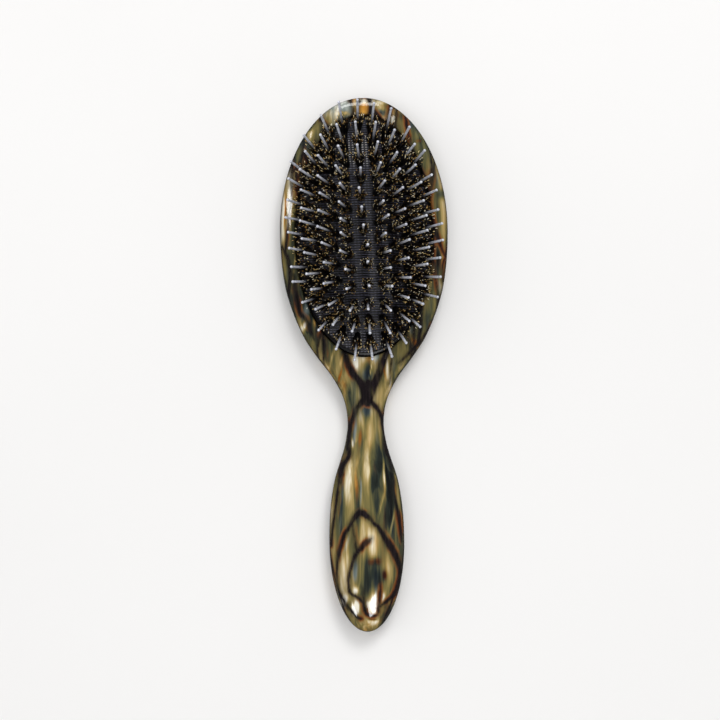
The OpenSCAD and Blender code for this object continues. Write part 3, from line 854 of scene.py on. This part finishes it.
def bristle_row(name, tufts, spread, seed):
    """Single hairs round each pin: thin three-sided strands that splay by up to spread and bend a little."""
    rng = np.random.default_rng(seed)
    count = len(tufts) * HAIRS
    turn = rng.uniform(0, 2 * math.pi, count)
    start = np.sqrt(rng.uniform(0.45, 1, count)) * 0.98
    end = start + rng.uniform(0.2, spread, count)
    height = rng.uniform(6.8, 10.6, count)
    bend = rng.normal(0, 0.35, (count, 2))
    tint = rng.uniform(0, 1, count)
    thick = rng.uniform(0.095, 0.125, count) + 0.045 * (tint > PALE)
    roots = np.repeat([t[0] for t in tufts], HAIRS, 0)
    axes = np.repeat([t[1] for t in tufts], HAIRS, 0)
    a, b = (np.repeat([across(t[1])[i] for t in tufts], HAIRS, 0) for i in (0, 1))
    rings = []
    for s, w in zip(HAIR_STEPS, HAIR_TAPER):
        r = start + (end - start) * s**1.4
        px = r * np.cos(turn) + bend[:, 0] * s * s
        py = r * np.sin(turn) + bend[:, 1] * s * s
        h = -HAIR_ROOT + (height + HAIR_ROOT) * s
        centre = roots + px[:, None] * a + py[:, None] * b + h[:, None] * axes
        for k in range(HAIR_SIDES):
            q = turn + k * 2 * math.pi / HAIR_SIDES
            rings.append(centre + (w * thick * np.cos(q))[:, None] * a + (w * thick * np.sin(q))[:, None] * b)
    verts = np.array(rings).transpose(1, 0, 2).reshape(-1, 3)
    points = HAIR_SIDES * len(HAIR_STEPS)  # of one hair
    one = grid_faces(len(HAIR_STEPS), HAIR_SIDES, 0, closed=True)
    one += [[2, 1, 0], [points - 3, points - 2, points - 1]]
    faces = [[i + n * points for i in f] for n in range(count) for f in one]
    obj = make_mesh(name, verts, faces)
    set_attribute(obj, "along", np.tile(np.repeat(HAIR_STEPS, HAIR_SIDES), count))
    set_attribute(obj, "tint", np.repeat(tint, points))
    return obj


# ---------------------------------------------------------------- cushion


RIB_PITCH, BEAD_PITCH = 1.02, 1.5
PAD_ROWS, PAD_COLS = 468, 176
TOP_INSET = 0.35  # from the edge of the plan to the edge of the ribbed top
RIB_HIGH, COLLAR_HIGH, MARGIN_DEEP = 0.3, 0.16, 0.17
VENT_CUT = 1.25  # the faces of the top are left out inside this radius
VENT_SIDES = 40


def dome_z(x, y):
    return BALL_Z + np.sqrt(np.maximum(BALL**2 - x**2 - ((y - PAD_Y) / DRAW) ** 2, 1.0))


def vent_place():
    u, v = VENT_PLACE
    x, y = u * math.cos(TURN) - v * math.sin(TURN), PAD_Y + u * math.sin(TURN) + v * math.cos(TURN)
    return x, y


def pad_relief(x, y, tufts):
    """What stands out of the dome at x and y: the height in mm, and how bright the crests are painted, as
    painted light on the rib tops and painted glints on the beads.
    """
    rim = 1 - np.hypot(x / PAD_A, (y - PAD_Y) / PAD_B)
    lift = smoothstep(0.025, 0.045, rim)
    rib = (0.5 + 0.5 * np.cos(2 * math.pi * y / RIB_PITCH)) ** 1.8
    # The ribs are broken into beads along the middle near the tip, and near the handle
    from_middle = np.abs(x + 0.4 + math.tan(TURN) * (y - PAD_Y))
    dotted = smoothstep(24, 30, y - PAD_Y) * (1 - smoothstep(38, 43, y - PAD_Y))
    dotted = dotted * (1 - smoothstep(3.4, 5, from_middle))
    dotted = np.maximum(dotted, 0.45 * (1 - smoothstep(-42, -36, y - PAD_Y)))
    bead = 1 - (0.3 + 0.7 * dotted) * (0.5 - 0.5 * np.cos(2 * math.pi * (from_middle - 2) / BEAD_PITCH))
    collar = np.zeros_like(x)
    for root, _ in tufts:
        near = (np.abs(x - root[0]) < 3) & (np.abs(y - root[1]) < 3)
        r = np.hypot(x[near] - root[0], y[near] - root[1])
        collar[near] = np.maximum(collar[near], 1 - smoothstep(1.15, 1.7, r))
    vx, vy = vent_place()
    from_vent = np.hypot(x - vx, y - vy)
    plain = np.maximum(collar, 1 - smoothstep(1.9, 2.6, from_vent))
    crest = lift * (1 - plain) * rib * bead
    margin = (1 - lift) * smoothstep(0.0, 0.03, rim)
    high = RIB_HIGH * crest + COLLAR_HIGH * collar - MARGIN_DEEP * margin
    # The beaded bands get crest values above 1, which the rubber turns into painted glints
    return high, crest * (1 + 2.1 * dotted)


def pad_inside(rim_loop):
    """Ovals that carry the top on: the rounded edge, the skirt, its foot and the membrane's inside."""
    phi = np.arctan2((rim_loop[:, 1] - PAD_Y) / PAD_B, rim_loop[:, 0] / PAD_A)

    def oval(offset, height):
        outward = np.stack([np.cos(phi) / PAD_A, np.sin(phi) / PAD_B], -1)
        outward /= np.linalg.norm(outward, axis=1, keepdims=True)
        flat = np.stack([PAD_A * np.cos(phi), PAD_Y + PAD_B * np.sin(phi)], -1) + offset * outward
        return np.concatenate([flat, np.broadcast_to(height, (len(phi),))[:, None]], -1)

    skirt = [(-0.1, 10.95), (0, 10.6), (0, 8.6), (0, SKIRT_FOOT + 0.2), (-0.2, SKIRT_FOOT)]
    skirt += [(-RUBBER, SKIRT_FOOT), (-RUBBER, 10.2)]
    loops = [rim_loop] + [oval(offset, height) for offset, height in skirt]
    for share in (0.93, 0.8, 0.6, 0.4, 0.2, 0.02):
        p = oval(-RUBBER, 0)
        p[:, 0] *= share
        p[:, 1] = PAD_Y + (p[:, 1] - PAD_Y) * share
        p[:, 2] = dome_z(p[:, 0], p[:, 1]) - RUBBER - 0.1
        loops.append(p)
    return loops


def vent_rim(vx, vy):
    """Rings of the air hole's rim, turned about the dome's own normal there."""
    z = float(dome_z(np.array(vx), np.array(vy)))
    axis = np.array([vx, (vy - PAD_Y) / DRAW**2, z - BALL_Z])
    axis /= np.linalg.norm(axis)
    a, b = across(axis)
    turn = np.arange(VENT_SIDES) * 2 * math.pi / VENT_SIDES
    ring = np.cos(turn)[:, None] * a + np.sin(turn)[:, None] * b
    profile = [(2.1, -0.25), (1.9, 0.02), (1.72, 0.2), (1.55, 0.38), (1.34, 0.46), (1.12, 0.4), (0.97, 0.22)]
    profile += [(VENT_R, 0.0), (VENT_R, -1.3), (1.3, -1.35)]
    return [np.array([vx, vy, z]) + h * axis + r * ring for r, h in profile]


def pad_mesh(tufts):
    """The rubber membrane, with cross ribs, a plain margin, a collar at each tuft and the air hole."""
    v = np.linspace(-1, 1, PAD_ROWS)
    v = np.sin(v * math.pi / 2) * 0.35 + v * 0.65
    c = np.linspace(-1, 1, PAD_COLS + 1)
    c = np.sin(c * math.pi / 2) * 0.25 + c * 0.75
    y = PAD_Y + (PAD_B - TOP_INSET) * v[:, None] + 0 * c[None, :]
    x = (PAD_A - TOP_INSET) * np.sqrt(np.clip(1 - v[:, None] ** 2, 0, 1)) * c[None, :]
    z = dome_z(x, y)
    high, painted_crest_light = pad_relief(x, y, tufts)
    normal = np.stack([x, (y - PAD_Y) / DRAW**2, z - BALL_Z], -1)
    normal /= np.linalg.norm(normal, axis=-1, keepdims=True)
    outer = np.stack([x, y, z], -1) + normal * high[..., None]
    flat = outer.reshape(-1, 3)
    faces = grid_faces(PAD_ROWS, PAD_COLS + 1)
    spot = flat[np.array(faces)].mean(1)
    vx, vy = vent_place()
    keep = np.hypot(spot[:, 0] - vx, spot[:, 1] - vy) > VENT_CUT
    faces = [f for f, k in zip(faces, keep) if k]

    loops = pad_inside(np.concatenate([outer[:, -1][::-1], outer[1:-1, 0]]))
    around_rim = len(loops[0])
    faces += grid_faces(len(loops), around_rim, len(flat), closed=True)
    count = len(flat) + len(loops) * around_rim
    faces.append([count - around_rim + i for i in range(around_rim)])

    rings = vent_rim(vx, vy)
    faces += grid_faces(len(rings), VENT_SIDES, count, closed=True)
    verts = np.concatenate([flat] + loops + rings)
    painted_crest_light = np.concatenate([painted_crest_light.reshape(-1), np.zeros(len(verts) - len(flat))])
    return make_mesh("cushion_membrane", verts, faces, merge=0.012, attributes={"crest": painted_crest_light})


# ---------------------------------------------------------------- room, light and camera


FLOOR_SIZE = 6.0  # m
FLOOR_DROP = 0.0001  # m, below the lowest point of the brush
ROOM_LIGHT, ROOM_SHINE = 0.40, 0.07  # the room as it lights the paper, and as it is reflected

# name, place in m, width and height in m, watts, aimed at. The first lights are seen by matt surfaces
# only, and the boxes by glossy reflections only
SOFT_LIGHTS = [
    ("key", (0.3, 0.85, 1.25), (0.6, 0.5), 9, (0, 0, 0)),
    ("fill", (-1.1, 0.1, 1.2), (0.8, 1.2), 3, (0, 0, 0)),
    ("over", (0, 0, 1.6), (1.6, 1.6), 10.5, (0, 0, 0)),
]
SHINE_LIGHTS = [
    ("left_box", (-0.26, 0.15, 0.27), (0.034, 0.18), 0.3, (-0.03, 0.06, 0.01)),
    ("end_box", (0.19, -0.58, 0.9), (0.33, 0.34), 5.5, (0, -0.09, 0)),
    ("low_box", (-0.7, -0.75, 0.75), (0.26, 0.26), 3.4, (0, -0.09, 0)),
    ("top_box", (-0.1, 1.12, 0.95), (0.5, 0.3), 4.5, (0, 0.1, 0)),
]


def paper_material():
    m = Nodes("paper")
    cloud = m.noise(m.place((0.002, 0.002, 0.002)), 1.0, 3.0, 0.5, 0.0)
    grain = m.noise(m.place((1.2, 1.2, 1.2)), 1.0, 3.0, 0.5, 0.0)
    m.set(Base_Color=m.mix(m.ranged(cloud, 0.3, 0.7), linear(239, 238, 237), linear(243, 242, 241)))
    m.set(Roughness=m.ranged(grain, 0.3, 0.7, 0.75, 0.9), Specular_IOR_Level=0.1)
    m.bump(grain, 0.05, 0.05)
    return m.material


def paper_floor():
    bpy.ops.mesh.primitive_plane_add(size=FLOOR_SIZE, location=(0, 0, -FLOOR_DROP))
    floor = bpy.context.object
    floor.name = "floor"
    floor.data.materials.append(paper_material())
    floor.visible_glossy = False


def room():
    """A plain white room. It is darker in a reflection than as the light on the paper."""
    world = bpy.data.worlds.new("studio")
    bpy.context.scene.world = world
    world.use_nodes = True
    tree = world.node_tree
    glow = tree.nodes["Background"]
    glow.inputs["Color"].default_value = (1.0, 1.0, 1.0, 1)
    path = tree.nodes.new("ShaderNodeLightPath")
    strength = tree.nodes.new("ShaderNodeMapRange")
    tree.links.new(path.outputs["Is Glossy Ray"], strength.inputs["Value"])
    strength.inputs["To Min"].default_value = ROOM_LIGHT
    strength.inputs["To Max"].default_value = ROOM_SHINE
    tree.links.new(strength.outputs["Result"], glow.inputs["Strength"])


def area_light(name, where, size, watts, aim, shine):
    """A rectangle of light. shine: seen only in glossy reflections, and otherwise only by matt surfaces."""
    light = bpy.data.lights.new(name, "AREA")
    light.shape = "RECTANGLE"
    light.size, light.size_y = size
    light.energy = watts
    obj = bpy.data.objects.new(name, light)
    bpy.context.scene.collection.objects.link(obj)
    direction = Vector(aim) - Vector(where)
    obj.matrix_world = Matrix.Translation(where) @ direction.to_track_quat("-Z", "Y").to_matrix().to_4x4()
    obj.visible_glossy = shine
    obj.visible_diffuse = not shine
    obj.visible_camera = False


def studio():
    paper_floor()
    room()
    for light in SOFT_LIGHTS:
        area_light(*light, shine=False)
    for light in SHINE_LIGHTS:
        area_light(*light, shine=True)


CAMERA_AWAY = 0.700  # m, from the target
CAMERA_TARGET = (-0.0021, 0.0010, 0.007)  # m
CAMERA_TILT, CAMERA_ROLL = math.radians(4), math.radians(0.54)
HALF_FRAME = 0.1485  # m, what half the frame shows at the target
SENSOR = 36  # mm


def camera():
    target = Vector(CAMERA_TARGET)
    back = Vector((0, -math.sin(CAMERA_TILT), math.cos(CAMERA_TILT)))
    up = Vector((math.sin(CAMERA_ROLL), math.cos(CAMERA_ROLL), 0))
    right = up.cross(back).normalized()
    up = back.cross(right)
    cam = bpy.data.cameras.new("camera")
    cam.sensor_width = SENSOR
    cam.lens = SENSOR / 2 / (HALF_FRAME / CAMERA_AWAY)
    cam.clip_start = 0.01
    obj = bpy.data.objects.new("camera", cam)
    bpy.context.scene.collection.objects.link(obj)
    turn = Matrix((right, up, back)).transposed().to_4x4()
    obj.matrix_world = Matrix.Translation(target + back * CAMERA_AWAY) @ turn
    bpy.context.scene.camera = obj


# ---------------------------------------------------------------- the brush

MIDDLE_ROW = 5
HAIR_SEED = 40  # plus the row's number


def finished(obj, material, body, node):
    """Gives obj its material and body, in place of the CAD node, which is hidden."""
    obj.data.materials.clear()
    obj.data.materials.append(material)
    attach(obj, body)
    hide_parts(node)
    return obj


def tuft_row(row, tufts, nylon, bristle, plug):
    """The pins, the hairs and the plugs of one row."""
    rides = f"tufts_row_{row}"
    pins = lathe_row(f"nylon_pins_{row}", tufts, pin_profile(), PIN_SIDES)
    finished(pins, nylon, rides, f"pins_row_{row}")
    spread = 2.0 + 0.4 * min(abs(row - MIDDLE_ROW), 3)
    hairs = bristle_row(f"bristle_tufts_{row}", tufts, spread, HAIR_SEED + row)
    finished(hairs, bristle, rides, f"bristles_row_{row}")
    plugs = lathe_row(f"root_plugs_{row}", tufts, plug_profile(), PLUG_SIDES)
    finished(plugs, plug, rides, f"plugs_row_{row}")


def build():
    acetate, rubber = acetate_material(), rubber_material()
    nylon, bristle = nylon_material(), bristle_material()
    plug = moulded_material("plug_plastic", linear(34, 34, 37), linear(52, 52, 56), 0.4)
    retainer = moulded_material("retainer_plastic", linear(168, 160, 138), linear(196, 188, 166), 0.45)

    body = body_mesh()
    paint_body(body)
    finished(body, acetate, "body", "handle_body")

    tufts = {row: pins_of_row(row) for row in ROWS}
    pad = pad_mesh([t for row in ROWS for t in tufts[row]])
    finished(pad, rubber, "body", "cushion_pad")
    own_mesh(pad)

    for row in ROWS:
        tuft_row(row, tufts[row], nylon, bristle, plug)

    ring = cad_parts["pad_retainer"]
    ring.data.materials.clear()
    ring.data.materials.append(retainer)


build()
studio()
camera()
bpy.context.scene.view_settings.view_transform = "Standard"
